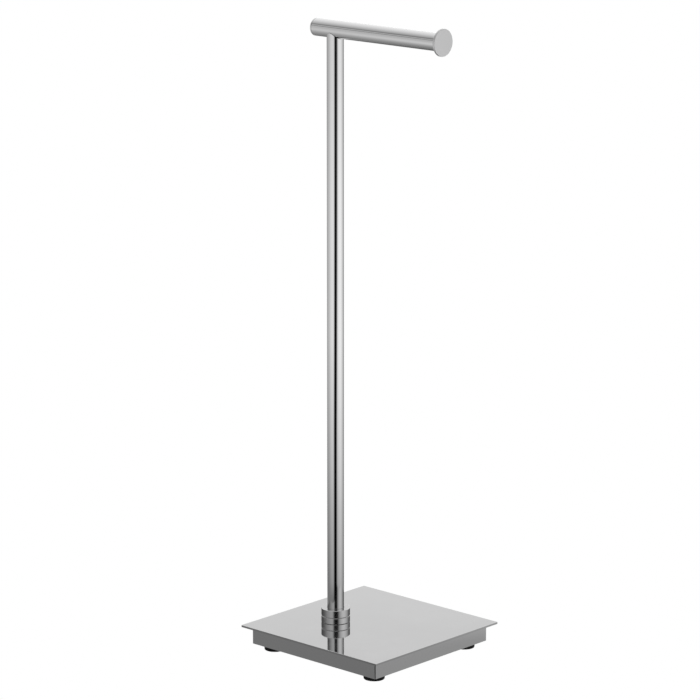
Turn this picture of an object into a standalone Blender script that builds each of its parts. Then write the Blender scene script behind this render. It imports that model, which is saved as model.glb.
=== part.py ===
"""Free-standing roll holder: weighted square base, round post and horizontal arm.

Metres, +Z up. The origin is on the floor, under the middle of the whole holder. The arm points along +X, and
the post, the arm and the upper collar turn about the post's own axis on the lower collar.
"""
import math

import bmesh
import bpy
from mathutils import Matrix

# Driving dimensions
GAP = 0.0003                # clearance between pieces that touch
WASHER_GAP = 0.00015        # closer clearance either side of the slip washer
PLATE_SIDE = 0.200
PLATE_THICK = 0.0024
PLATE_EDGE = 0.0003
SKIRT_SIDE = 0.183
SKIRT_WALL = 0.0015
SKIRT_DEPTH = 0.019         # from the plate's underside to the skirt's lower edge
FOOT_HEIGHT = 0.0067
FOOT_TOP_RADIUS = 0.0119
FOOT_BOTTOM_RADIUS = 0.0114
FOOT_OFFSET = 0.074         # from the plate's middle, along X and along Y
POST_OFFSET_X = -0.0345     # from the plate's middle
POST_OFFSET_Y = -0.0179
POST_RADIUS = 0.00917
ARM_RADIUS = 0.00953
TUBE_WALL = 0.0012
ARM_HEIGHT = 0.6575         # arm's axis above the plate's top
ARM_REAR = -0.0630          # rear face of the arm, from the plate's middle
ARM_FRONT = 0.1182          # front face of the end disc, from the plate's middle
DISC_RADIUS = 0.0145
DISC_THICK = 0.0025
REAR_CAP_THICK = 0.0020
COLLAR_RADIUS = 0.0159
COLLAR_HEIGHT = 0.0158      # both rings together
COLLAR_GROOVE = 0.0072      # middle of the groove between them, above the plate
COLLAR_CHAMFER = 0.0003
BALLAST_SIDE = 0.164
BALLAST_THICK = 0.008
COVER_THICK = 0.0012

# Fasteners
BOLT_RADIUS = 0.004
BOLT_HOLE_RADIUS = 0.0043
ARM_SCREW_RADIUS = 0.003
ARM_SCREW_HOLE_RADIUS = 0.0033
FOOT_SCREW_RADIUS = 0.002
FOOT_SCREW_HOLE_RADIUS = 0.0023
STUD_RADIUS = 0.002
STUD_HOLE_RADIUS = 0.0023

# Levels above the floor, from the feet up
SKIRT_BOTTOM = FOOT_HEIGHT
PLATE_BOTTOM = SKIRT_BOTTOM + SKIRT_DEPTH
PLATE_TOP = PLATE_BOTTOM + PLATE_THICK
SKIRT_TOP = PLATE_BOTTOM - GAP
COVER_BOTTOM = SKIRT_BOTTOM + GAP
COVER_TOP = COVER_BOTTOM + COVER_THICK
BALLAST_TOP = PLATE_BOTTOM - GAP
BALLAST_BOTTOM = BALLAST_TOP - BALLAST_THICK
COLLAR_BOTTOM = PLATE_TOP + GAP
COLLAR_TOP = PLATE_TOP + COLLAR_HEIGHT
COLLAR_SPLIT = PLATE_TOP + COLLAR_GROOVE
UPPER_COLLAR_FLOOR = COLLAR_SPLIT + GAP / 2 + 0.0016
POST_BOTTOM = UPPER_COLLAR_FLOOR + GAP
ARM_Z = PLATE_TOP + ARM_HEIGHT

# Places on the floor
PLATE_X = -(ARM_FRONT - PLATE_SIDE / 2) / 2
POST_X = PLATE_X + POST_OFFSET_X
POST_Y = POST_OFFSET_Y

ROUND_STEPS = 48
FOOT_STEPS = 32
SMALL_STEPS = 24
SMOOTH_ANGLE = math.radians(35)


def clear_scene():
    """Remove whatever the scene holds."""
    for old in list(bpy.data.objects):
        bpy.data.objects.remove(old, do_unlink=True)


def finish(name, colour, metallic, roughness):
    """A Principled material."""
    material = bpy.data.materials.new(name)
    material.use_nodes = True
    shader = material.node_tree.nodes["Principled BSDF"]
    shader.inputs["Base Color"].default_value = (*colour, 1.0)
    shader.inputs["Metallic"].default_value = metallic
    shader.inputs["Roughness"].default_value = roughness
    return material


def add_object(name, bm, material, parent=None):
    """Turn a bmesh into a named object with its faces pointing out and shaded smooth between sharp edges."""
    bmesh.ops.remove_doubles(bm, verts=bm.verts, dist=1e-6)
    bmesh.ops.recalc_face_normals(bm, faces=bm.faces)
    mesh = bpy.data.meshes.new(name)
    bm.to_mesh(mesh)
    bm.free()
    mesh.shade_smooth()
    mesh.set_sharp_from_angle(angle=SMOOTH_ANGLE)
    if material:
        mesh.materials.append(material)
    piece = bpy.data.objects.new(name, mesh)
    bpy.context.scene.collection.objects.link(piece)
    piece.parent = parent
    return piece


def turned(profile, steps=ROUND_STEPS):
    """A bmesh turned about Z from a closed outline of (radius, height) points."""
    bm = bmesh.new()
    points = [bm.verts.new((radius, 0.0, height)) for radius, height in profile]
    edges = []
    for first, second in zip(points, points[1:] + points[:1]):
        if first.co.x > 0 or second.co.x > 0:
            edges.append(bm.edges.new((first, second)))
    bmesh.ops.spin(bm, geom=points + edges, cent=(0, 0, 0), axis=(0, 0, 1), dvec=(0, 0, 0),
                   angle=2 * math.pi, steps=steps, use_merge=True, use_duplicate=False)
    return bm


def along_x(bm):
    """Turn a shape made about Z so that it lies along +X."""
    bmesh.ops.rotate(bm, verts=bm.verts, cent=(0, 0, 0), matrix=Matrix.Rotation(math.pi / 2, 3, "Y"))
    return bm


def rod(radius, low, high, chamfer=0.0):
    """Outline of a solid round bar, chamfered at both ends."""
    if not chamfer:
        return [(0, low), (radius, low), (radius, high), (0, high)]
    return [(0, low), (radius - chamfer, low), (radius, low + chamfer),
            (radius, high - chamfer), (radius - chamfer, high), (0, high)]


def ring(inner, outer, low, high, chamfer=0.0):
    """Outline of a ring, chamfered on its two outer edges."""
    if not chamfer:
        return [(inner, low), (outer, low), (outer, high), (inner, high)]
    return [(inner, low), (outer - chamfer, low), (outer, low + chamfer),
            (outer, high - chamfer), (outer - chamfer, high), (inner, high)]


def box(side_x, side_y, low, high, edge=0.0, upright_edge=0.0):
    """A block about the Z axis, with its upright edges and then all its edges bevelled."""
    bm = bmesh.new()
    bmesh.ops.create_cube(bm, size=1.0)
    bmesh.ops.scale(bm, verts=bm.verts, vec=(side_x, side_y, high - low))
    bmesh.ops.translate(bm, verts=bm.verts, vec=(0, 0, (low + high) / 2))
    if upright_edge:
        upright = [e for e in bm.edges if abs(e.verts[0].co.z - e.verts[1].co.z) > (high - low) / 2]
        bmesh.ops.bevel(bm, geom=upright, offset=upright_edge, segments=4, profile=0.5, affect="EDGES")
    if edge:
        bmesh.ops.bevel(bm, geom=list(bm.edges), offset=edge, segments=1, profile=0.5, affect="EDGES")
    return bm


def hexagon(radius, low, high):
    """A six-sided prism about the Z axis; radius is to its corners."""
    bm = bmesh.new()
    bmesh.ops.create_cone(bm, cap_ends=True, segments=6, radius1=radius, radius2=radius, depth=high - low)
    bmesh.ops.translate(bm, verts=bm.verts, vec=(0, 0, (low + high) / 2))
    return bm


def boolean(piece, bm, place, operation="DIFFERENCE", parent=None):
    """Cut, join or intersect a piece with a tool shape, which stays hidden in the file."""
    tool = add_object(f"{piece.name}_tool_{len(piece.modifiers)}", bm, None, parent)
    tool.location = place
    tool.hide_render = True
    tool.display_type = "WIRE"
    modifier = piece.modifiers.new(operation.title(), "BOOLEAN")
    modifier.operation = operation
    modifier.solver = "EXACT"
    modifier.object = tool


def foot_places():
    """Name and middle of each foot, by the corner that it stands under."""
    for depth_name, along_y in (("front", -1), ("back", 1)):
        for side_name, along in (("left", -1), ("right", 1)):
            yield f"{depth_name}_{side_name}", (PLATE_X + along * FOOT_OFFSET, along_y * FOOT_OFFSET, 0)


def make_top_plate(material):
    """Thin square plate with a hole for the base bolt."""
    square = box(PLATE_SIDE, PLATE_SIDE, PLATE_BOTTOM, PLATE_TOP, PLATE_EDGE)
    plate = add_object("top_plate", square, material)
    plate.location = (PLATE_X, 0, 0)
    hole = turned(rod(BOLT_HOLE_RADIUS, PLATE_BOTTOM - 0.002, PLATE_TOP + 0.002), SMALL_STEPS)
    boolean(plate, hole, (POST_X, POST_Y, 0))


def make_skirt(material):
    """Four wall strips, cut at 45 degrees where they meet."""
    outer = SKIRT_SIDE / 2
    inner = outer - SKIRT_WALL
    relief = 0.7 * GAP
    for name, turns in (("skirt_front", 0), ("skirt_right", 1), ("skirt_back", 2), ("skirt_left", 3)):
        bm = bmesh.new()
        outline = ((-outer + relief, -outer), (outer - relief, -outer),
                   (inner - relief, -inner), (-inner + relief, -inner))
        face = bm.faces.new([bm.verts.new((x, y, SKIRT_BOTTOM)) for x, y in outline])
        raised = bmesh.ops.extrude_face_region(bm, geom=[face])
        top = [part for part in raised["geom"] if isinstance(part, bmesh.types.BMVert)]
        bmesh.ops.translate(bm, verts=top, vec=(0, 0, SKIRT_TOP - SKIRT_BOTTOM))
        quarters = Matrix.Rotation(turns * math.pi / 2, 3, "Z")
        bmesh.ops.rotate(bm, verts=bm.verts, cent=(0, 0, 0), matrix=quarters)
        strip = add_object(name, bm, material)
        strip.location = (PLATE_X, 0, 0)


def make_ballast(material):
    """Cast weight with a boss over each foot, a bolt hole and a counterbore for the bolt's head."""
    boss_radius = 0.007
    counterbore_radius = 0.011
    counterbore_top = BALLAST_BOTTOM + 0.002
    screw_hole_top = BALLAST_BOTTOM + 0.001
    block = box(BALLAST_SIDE, BALLAST_SIDE, BALLAST_BOTTOM, BALLAST_TOP, 0.0008, 0.004)
    ballast = add_object("ballast", block, material)
    ballast.location = (PLATE_X, 0, 0)
    for _, place in foot_places():
        boss = turned(rod(boss_radius, COVER_TOP + GAP, BALLAST_BOTTOM + 0.002), SMALL_STEPS)
        boolean(ballast, boss, place, "UNION")
    for _, place in foot_places():
        hole = turned(rod(FOOT_SCREW_HOLE_RADIUS, COVER_BOTTOM, screw_hole_top), SMALL_STEPS)
        boolean(ballast, hole, place)
    bolt_hole = turned([(0, BALLAST_BOTTOM - 0.002), (counterbore_radius, BALLAST_BOTTOM - 0.002),
                        (counterbore_radius, counterbore_top), (BOLT_HOLE_RADIUS, counterbore_top),
                        (BOLT_HOLE_RADIUS, BALLAST_TOP + 0.002), (0, BALLAST_TOP + 0.002)], SMALL_STEPS)
    boolean(ballast, bolt_hole, (POST_X, POST_Y, 0))


def make_bottom_cover(material):
    """Sheet that closes the base between the skirt's walls."""
    side = SKIRT_SIDE - 2 * (SKIRT_WALL + GAP)
    cover = add_object("bottom_cover", box(side, side, COVER_BOTTOM, COVER_TOP), material)
    cover.location = (PLATE_X, 0, 0)
    for _, place in foot_places():
        hole = turned(rod(FOOT_SCREW_HOLE_RADIUS, COVER_BOTTOM - 0.002, COVER_TOP + 0.002), SMALL_STEPS)
        boolean(cover, hole, place)


def make_feet(rubber, steel):
    """Rubber feet, each recessed for the pan head of its own screw."""
    recess_radius = 0.0048
    recess_top = 0.0032
    edge = 0.0006
    head_radius = 0.0042
    head_low = 0.0008
    head_high = recess_top - GAP
    screw_top = BALLAST_BOTTOM
    foot_outline = [(recess_radius, 0), (FOOT_BOTTOM_RADIUS - edge, 0), (FOOT_BOTTOM_RADIUS, edge),
                    (FOOT_TOP_RADIUS, FOOT_HEIGHT), (FOOT_SCREW_HOLE_RADIUS, FOOT_HEIGHT),
                    (FOOT_SCREW_HOLE_RADIUS, recess_top), (recess_radius, recess_top)]
    screw_outline = [(0, head_low), (head_radius - edge, head_low), (head_radius, head_low + edge),
                     (head_radius, head_high), (FOOT_SCREW_RADIUS, head_high),
                     (FOOT_SCREW_RADIUS, screw_top), (0, screw_top)]
    for corner, place in foot_places():
        foot = add_object(f"foot_{corner}", turned(foot_outline, FOOT_STEPS), rubber)
        foot.location = place
        screw = add_object(f"foot_screw_{corner}", turned(screw_outline, SMALL_STEPS), steel)
        screw.location = place


def make_base_clamp(axis, steel, spring_steel):
    """Flat washer and conical spring washer, fixed; the bolt turns with the post."""
    washer_top = BALLAST_BOTTOM + 0.002 - GAP
    washer_bottom = washer_top - 0.0016
    spring_top = washer_bottom - GAP
    spring_bottom = spring_top - 0.0019
    head_top = spring_bottom - GAP
    head_bottom = head_top - 0.0045
    bolt_top = POST_BOTTOM + 0.022
    leaf = 0.0009
    flat = turned(ring(BOLT_HOLE_RADIUS, 0.0095, washer_bottom, washer_top), SMALL_STEPS)
    washer = add_object("base_washer", flat, steel)
    washer.location = (POST_X, POST_Y, 0)
    cone = [(BOLT_HOLE_RADIUS, spring_bottom), (BOLT_HOLE_RADIUS + 0.0004, spring_bottom),
            (0.0085, spring_top - leaf), (0.0085, spring_top), (0.0081, spring_top),
            (BOLT_HOLE_RADIUS, spring_bottom + leaf)]
    spring = add_object("spring_washer", turned(cone, SMALL_STEPS), spring_steel)
    spring.location = (POST_X, POST_Y, 0)
    bolt = add_object("base_bolt", hexagon(0.0075, head_bottom, head_top), steel, axis)
    shank = turned(rod(BOLT_RADIUS, head_bottom + 0.001, bolt_top), SMALL_STEPS)
    boolean(bolt, shank, (0, 0, 0), "UNION", axis)


def make_collars(axis, steel, nylon):
    """Lower ring on the plate, slip washer let into it, and the upper ring that the post stands in."""
    recess_radius = 0.0110
    recess_floor = COLLAR_SPLIT - GAP / 2 - 0.0008
    washer_top = COLLAR_SPLIT + GAP / 2 - WASHER_GAP
    lower_top = COLLAR_SPLIT - GAP / 2
    upper_bottom = COLLAR_SPLIT + GAP / 2
    edge = COLLAR_CHAMFER
    lower_outline = [(BOLT_HOLE_RADIUS, COLLAR_BOTTOM), (COLLAR_RADIUS, COLLAR_BOTTOM),
                     (COLLAR_RADIUS, lower_top - edge), (COLLAR_RADIUS - edge, lower_top),
                     (recess_radius, lower_top), (recess_radius, recess_floor),
                     (BOLT_HOLE_RADIUS, recess_floor)]
    lower = add_object("lower_collar", turned(lower_outline), steel)
    lower.location = (POST_X, POST_Y, 0)
    slip_outline = ring(BOLT_HOLE_RADIUS, recess_radius - GAP, recess_floor + WASHER_GAP, washer_top)
    slip = turned(slip_outline, SMALL_STEPS)
    washer = add_object("swivel_washer", slip, nylon)
    washer.location = (POST_X, POST_Y, 0)
    socket_radius = POST_RADIUS + GAP
    upper_outline = [(BOLT_HOLE_RADIUS, upper_bottom), (COLLAR_RADIUS - edge, upper_bottom),
                     (COLLAR_RADIUS, upper_bottom + edge), (COLLAR_RADIUS, COLLAR_TOP - edge),
                     (COLLAR_RADIUS - edge, COLLAR_TOP), (socket_radius, COLLAR_TOP),
                     (socket_radius, UPPER_COLLAR_FLOOR), (BOLT_HOLE_RADIUS, UPPER_COLLAR_FLOOR)]
    add_object("upper_collar", turned(upper_outline), steel, axis)


def arm_saddle():
    """Tool that copes a piece of the post to the underside of the arm, with clearance."""
    return along_x(turned(rod(ARM_RADIUS + GAP, -0.03, 0.03)))


def make_post(axis, steel, plug_steel):
    """Upright tube with a threaded plug in each end, both coped at the top."""
    bore = POST_RADIUS - TUBE_WALL
    plug_radius = bore - GAP
    plug_length = 0.030
    above_axis = (0, 0, ARM_Z)
    tube = add_object("post_tube", turned(ring(bore, POST_RADIUS, POST_BOTTOM, ARM_Z)), steel, axis)
    boolean(tube, arm_saddle(), above_axis, parent=axis)
    bottom_outline = ring(BOLT_HOLE_RADIUS, plug_radius, POST_BOTTOM, POST_BOTTOM + plug_length)
    add_object("post_bottom_plug", turned(bottom_outline, SMALL_STEPS), plug_steel, axis)
    top_outline = ring(ARM_SCREW_HOLE_RADIUS, plug_radius, ARM_Z - ARM_RADIUS - plug_length, ARM_Z)
    top_plug = add_object("post_top_plug", turned(top_outline, SMALL_STEPS), plug_steel, axis)
    boolean(top_plug, arm_saddle(), above_axis, parent=axis)


def make_arm(axis, steel, plug_steel):
    """Horizontal tube, its rear cap, front plug and end disc, and the screw that holds it to the post."""
    rear = ARM_REAR - POST_OFFSET_X
    front = ARM_FRONT - POST_OFFSET_X
    bore = ARM_RADIUS - TUBE_WALL
    tube_rear = rear + REAR_CAP_THICK + GAP
    tube_front = front - DISC_THICK - GAP
    spigot = bore - GAP
    on_arm = (0, 0, ARM_Z)

    wall = turned(ring(bore, ARM_RADIUS, tube_rear, tube_front))
    tube = add_object("arm_tube", along_x(wall), steel, axis)
    tube.location = on_arm
    hole = turned(rod(ARM_SCREW_HOLE_RADIUS, ARM_Z - ARM_RADIUS - 0.002, ARM_Z), SMALL_STEPS)
    boolean(tube, hole, (0, 0, 0), parent=axis)

    cap_edge = 0.0008
    cap_outline = [(0, rear), (ARM_RADIUS - cap_edge, rear),
                   (ARM_RADIUS - cap_edge * 0.3, rear + cap_edge * 0.3),
                   (ARM_RADIUS, rear + cap_edge), (ARM_RADIUS, rear + REAR_CAP_THICK),
                   (spigot, rear + REAR_CAP_THICK), (spigot, rear + 0.010), (0, rear + 0.010)]
    cap = add_object("arm_rear_cap", along_x(turned(cap_outline)), steel, axis)
    cap.location = on_arm

    plug_outline = ring(STUD_HOLE_RADIUS, spigot, tube_front - 0.016, tube_front)
    plug = add_object("end_plug", along_x(turned(plug_outline, SMALL_STEPS)), plug_steel, axis)
    plug.location = on_arm

    disc_edge = 0.0003
    disc_back = front - DISC_THICK
    disc_outline = [(0, disc_back - 0.012), (STUD_RADIUS, disc_back - 0.012), (STUD_RADIUS, disc_back),
                    (DISC_RADIUS - disc_edge, disc_back), (DISC_RADIUS, disc_back + disc_edge),
                    (DISC_RADIUS, front - disc_edge), (DISC_RADIUS - disc_edge, front), (0, front)]
    disc = add_object("end_disc", along_x(turned(disc_outline)), steel, axis)
    disc.location = on_arm

    saddle_top = ARM_Z - 0.0050
    saddle_outline = ring(ARM_SCREW_HOLE_RADIUS, 0.006, ARM_Z - bore, saddle_top)
    saddle = add_object("saddle_washer", turned(saddle_outline, SMALL_STEPS), plug_steel, axis)
    boolean(saddle, along_x(turned(rod(bore - GAP, -0.02, 0.02))), on_arm, "INTERSECT", axis)

    head_low = saddle_top + GAP
    head_high = head_low + 0.0034
    head_radius = 0.005
    screw_end = ARM_Z - ARM_RADIUS - 0.022
    screw_outline = [(0, screw_end), (ARM_SCREW_RADIUS, screw_end), (ARM_SCREW_RADIUS, head_low),
                     (head_radius, head_low), (head_radius, head_high - 0.001),
                     (head_radius - 0.0015, head_high), (0, head_high)]
    add_object("arm_screw", turned(screw_outline, SMALL_STEPS), plug_steel, axis)


def main():
    """Build the holder from the floor up."""
    clear_scene()
    polished = finish("polished_steel", (0.62, 0.62, 0.63), 1.0, 0.08)
    satin = finish("satin_steel", (0.50, 0.50, 0.52), 1.0, 0.22)
    zinc = finish("zinc_steel", (0.55, 0.56, 0.57), 1.0, 0.35)
    spring_steel = finish("spring_steel", (0.12, 0.12, 0.13), 1.0, 0.40)
    iron = finish("cast_iron", (0.07, 0.07, 0.075), 0.9, 0.65)
    paint = finish("cover_paint", (0.03, 0.03, 0.032), 0.0, 0.55)
    rubber = finish("foot_rubber", (0.012, 0.012, 0.013), 0.0, 0.75)
    nylon = finish("washer_nylon", (0.02, 0.02, 0.02), 0.0, 0.5)

    axis = bpy.data.objects.new("post_swivel_axis", None)
    bpy.context.scene.collection.objects.link(axis)
    axis.location = (POST_X, POST_Y, 0)

    make_top_plate(polished)
    make_skirt(satin)
    make_ballast(iron)
    make_bottom_cover(paint)
    make_feet(rubber, zinc)
    make_base_clamp(axis, zinc, spring_steel)
    make_collars(axis, polished, nylon)
    make_post(axis, polished, zinc)
    make_arm(axis, polished, zinc)


main()
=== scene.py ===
"""Looks of a free-standing roll holder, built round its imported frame.

A weighted square base on rubber feet carries a tall round post, and a horizontal arm lies across the
post's top. The post, the arm and the upper collar ring turn on the lower collar ring. All sizes are in
metres, in the frame's own axes: +Z up, +X along the arm. Every place is read from the frame's nodes.
"""
import logging
import math
from dataclasses import dataclass
from enum import Enum
from typing import Callable, Sequence, Union

import bmesh
import bpy
from mathutils import Matrix, Vector


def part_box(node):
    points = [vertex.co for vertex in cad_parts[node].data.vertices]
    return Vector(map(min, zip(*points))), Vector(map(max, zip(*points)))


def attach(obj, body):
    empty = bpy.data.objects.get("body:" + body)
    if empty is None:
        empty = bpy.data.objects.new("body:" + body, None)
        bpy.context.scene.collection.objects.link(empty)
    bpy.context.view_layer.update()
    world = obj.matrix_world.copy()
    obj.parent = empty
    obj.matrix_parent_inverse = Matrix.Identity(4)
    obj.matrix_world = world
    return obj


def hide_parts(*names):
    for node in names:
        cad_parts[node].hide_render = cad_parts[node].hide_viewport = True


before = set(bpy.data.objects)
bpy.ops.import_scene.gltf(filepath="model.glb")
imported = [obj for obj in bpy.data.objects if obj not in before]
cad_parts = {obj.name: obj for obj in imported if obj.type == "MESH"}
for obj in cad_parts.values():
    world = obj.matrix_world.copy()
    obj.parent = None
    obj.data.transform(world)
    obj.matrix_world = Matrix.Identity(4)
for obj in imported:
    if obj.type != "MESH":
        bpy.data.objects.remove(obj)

LOG = logging.getLogger("roll_holder")
BASE = "base"
MOVING = "post_and_arm"

Radius = Union[float, Callable[[float], float]]
Socket = bpy.types.NodeSocket


class Lay(Enum):
    """Which way a metal's polishing lines run."""

    ALONG_X = (2.0, 90.0, 90.0)
    ALONG_Z = (90.0, 90.0, 2.0)
    ACROSS = (60.0, 3.0, 60.0)
    NONE = (40.0, 40.0, 40.0)


class Turning(Enum):
    """Which axis a round piece is turned about."""

    UPRIGHT = "Z"
    LENGTHWISE = "X"


# --------------------------------------------------------------------------------------------------
# Node trees


class Tree:
    """Short calls for adding nodes to a tree and joining them."""

    def __init__(self, tree: bpy.types.NodeTree) -> None:
        """Wrap a tree.

        Args:
            tree: The shader or geometry tree to add to.
        """
        self.tree = tree

    def add(self, kind: str, inputs: dict | None = None, **settings: object) -> bpy.types.Node:
        """Add a node.

        Args:
            kind: The node's type name.
            inputs: A value or a socket for each named or numbered input.
            **settings: The node's own properties.

        Returns:
            The new node.
        """
        node = self.tree.nodes.new(kind)
        for name, value in settings.items():
            setattr(node, name, value)
        self.feed(node, inputs or {})
        return node

    def feed(self, node: bpy.types.Node, inputs: dict) -> None:
        """Fill a node's inputs.

        Args:
            node: The node.
            inputs: A value or a socket for each named or numbered input.
        """
        for key, value in inputs.items():
            if isinstance(value, Socket):
                self.tree.links.new(value, node.inputs[key])
            else:
                node.inputs[key].default_value = value

    def maths(self, operation: str, *values: float | Socket) -> Socket:
        """Add a Math node.

        Args:
            operation: The node's operation.
            *values: Its inputs, in order.

        Returns:
            Its result.
        """
        return self.add("ShaderNodeMath", dict(enumerate(values)), operation=operation).outputs[0]

    def vector(self, operation: str, *values: Sequence[float] | Socket, output: int = 0) -> Socket:
        """Add a Vector Math node.

        Args:
            operation: The node's operation.
            *values: Its inputs, in order.
            output: 0 for the vector result, 1 for the number.

        Returns:
            The chosen result.
        """
        return self.add("ShaderNodeVectorMath", dict(enumerate(values)), operation=operation).outputs[output]

    def remap(self, value: Socket, low: float, high: float, to_low: float, to_high: float,
              smooth: bool = False) -> Socket:
        """Map a range on to another, held at its ends.

        Args:
            value: What is mapped.
            low: Start of its range.
            high: End of its range.
            to_low: Result at the start.
            to_high: Result at the end.
            smooth: Whether the step eases in and out.

        Returns:
            The mapped value.
        """
        kind = "SMOOTHSTEP" if smooth else "LINEAR"
        inputs = {0: value, 1: low, 2: high, 3: to_low, 4: to_high}
        return self.add("ShaderNodeMapRange", inputs, interpolation_type=kind).outputs[0]

    def ramp(self, value: Socket, stops: Sequence[tuple[float, float]]) -> Socket:
        """Add a grey ramp whose stops may be brighter than white.

        Args:
            value: Where on the ramp.
            stops: Place and brightness of each stop, in order.

        Returns:
            The ramp's brightness.
        """
        peak = max(level for _, level in stops)
        node = self.add("ShaderNodeValToRGB", {0: value})
        elements = node.color_ramp.elements
        ends = (elements[0], elements[1])
        for element, (place, _) in zip(ends, (stops[0], stops[-1])):
            element.position = place
        for place, _ in stops[1:-1]:
            elements.new(place)
        for element, (_, level) in zip(elements, stops):
            share = level / peak
            element.color = (share, share, share, 1.0)
        return self.maths("MULTIPLY", node.outputs["Color"], peak)

    def turn_ramp(self, angle: Socket, stops: Sequence[tuple[float, float]]) -> Socket:
        """Add a grey ramp that runs once round the holder.

        Args:
            angle: Bearing in radians, from -pi to pi.
            stops: Bearing in degrees and brightness of each stop, from -180 to 180.

        Returns:
            The brightness at that bearing.
        """
        share = self.maths("ADD", self.maths("DIVIDE", angle, math.tau), 0.5)
        return self.ramp(share, [((bearing + 180.0) / 360.0, level) for bearing, level in stops])

    def blend(self, share: Socket, low: float | Socket, high: float | Socket) -> Socket:
        """Blend two numbers.

        Args:
            share: How much of the second, from 0 to 1.
            low: The first.
            high: The second.

        Returns:
            The blend.
        """
        return self.add("ShaderNodeMix", {"Factor": share, "A": low, "B": high}, data_type="FLOAT").outputs[0]

    def mix_colour(self, share: Socket, low: Sequence[float], high: Sequence[float]) -> Socket:
        """Blend two colours.

        Args:
            share: How much of the second, from 0 to 1.
            low: The first.
            high: The second.

        Returns:
            The blend.
        """
        inputs = {"Factor": share, "A": (*low, 1.0), "B": (*high, 1.0)}
        return self.add("ShaderNodeMix", inputs, data_type="RGBA").outputs["Result"]

    def noise(self, vector: Socket, scale: float, detail: float = 3.0, roughness: float = 0.55) -> Socket:
        """Add a noise texture.

        Args:
            vector: Its coordinates.
            scale: Features to a metre.
            detail: Octaves.
            roughness: How strong the finer octaves are.

        Returns:
            The noise, from 0 to 1.
        """
        inputs = {"Vector": vector, "Scale": scale, "Detail": detail, "Roughness": roughness}
        return self.add("ShaderNodeTexNoise", inputs).outputs[0]


# --------------------------------------------------------------------------------------------------
# Finishes


def new_shader(name: str) -> tuple[bpy.types.Material, Tree, bpy.types.Node]:
    """Make a material with only a Principled shader and its output.

    Args:
        name: The material's name.

    Returns:
        The material, its tree and its shader.
    """
    material = bpy.data.materials.new(name)
    material.use_nodes = True
    return material, Tree(material.node_tree), material.node_tree.nodes["Principled BSDF"]


def emptied(owner: bpy.types.Material | bpy.types.World) -> Tree:
    """Clear the nodes of a material or a world.

    Args:
        owner: The material or world.

    Returns:
        Its tree, with nothing in it.
    """
    owner.use_nodes = True
    owner.node_tree.nodes.clear()
    return Tree(owner.node_tree)


@dataclass(frozen=True)
class Metal:
    """A bare or plated metal, from mirror polish to satin.

    Attributes:
        name: The material's name.
        tone: Mean colour.
        spread: How far the colour wanders, as a share of it.
        roughness: Roughness where it is cleanest.
        smear: Roughness that fine haze and finger wipes add.
        lay: Which way the polishing lines run.
        grain: Height of those lines.
        centre: Axis of the piece, for lines that run round it.
        turning: The piece's turning axis, if the lines run round it.
    """

    name: str
    tone: tuple[float, float, float]
    spread: float = 0.04
    roughness: float = 0.06
    smear: float = 0.05
    lay: Lay = Lay.NONE
    grain: float = 0.000002
    centre: tuple[float, float, float] = (0.0, 0.0, 0.0)
    turning: Turning | None = None

    def lines(self, tree: Tree, place: Socket) -> Socket:
        """Fine polishing lines.

        Args:
            tree: The material's tree.
            place: Object coordinates.

        Returns:
            Line height, from 0 to 1.
        """
        if self.turning is None:
            stretched = tree.add("ShaderNodeMapping", {"Vector": place, "Scale": self.lay.value}).outputs[0]
            return tree.noise(stretched, 34.0, 4.0, 0.7)
        away = tree.vector("SUBTRACT", place, self.centre)
        flat = (1.0, 1.0, 0.0) if self.turning is Turning.UPRIGHT else (0.0, 1.0, 1.0)
        radial = tree.vector("LENGTH", tree.vector("MULTIPLY", away, flat), output=1)
        along = tree.vector("DOT_PRODUCT", away, tuple(1.0 - share for share in flat), output=1)
        wound = tree.add("ShaderNodeCombineXYZ", {0: radial, 1: along}).outputs[0]
        return tree.noise(wound, 2600.0, 3.0, 0.7)

    def build(self) -> bpy.types.Material:
        """Build the material.

        Returns:
            The material.
        """
        material, tree, shader = new_shader(self.name)
        place = tree.add("ShaderNodeTexCoord").outputs["Object"]
        lines = self.lines(tree, place)
        cloud = tree.noise(place, 17.0, 4.0, 0.6)
        speck = tree.noise(place, 420.0, 2.0, 0.5)
        wiped = tree.remap(cloud, 0.42, 0.68, 0.0, 1.0, smooth=True)
        tone = tree.maths("ADD", tree.maths("MULTIPLY", cloud, 0.6), tree.maths("MULTIPLY", lines, 0.4))
        dark = tuple(channel * (1.0 - self.spread) for channel in self.tone)
        light = tuple(min(1.0, channel * (1.0 + self.spread)) for channel in self.tone)
        haze = tree.maths("MULTIPLY", wiped, self.smear)
        dust = tree.remap(speck, 0.62, 0.80, 0.0, self.smear * 0.3)
        rough = tree.maths("ADD", tree.maths("ADD", haze, dust), self.roughness)
        bump = tree.add("ShaderNodeBump", {"Height": lines, "Strength": 0.6, "Distance": self.grain})
        tree.feed(shader, {"Base Color": tree.mix_colour(tone, dark, light), "Roughness": rough,
                           "Normal": bump.outputs[0], "Metallic": 1.0})
        return material


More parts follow.
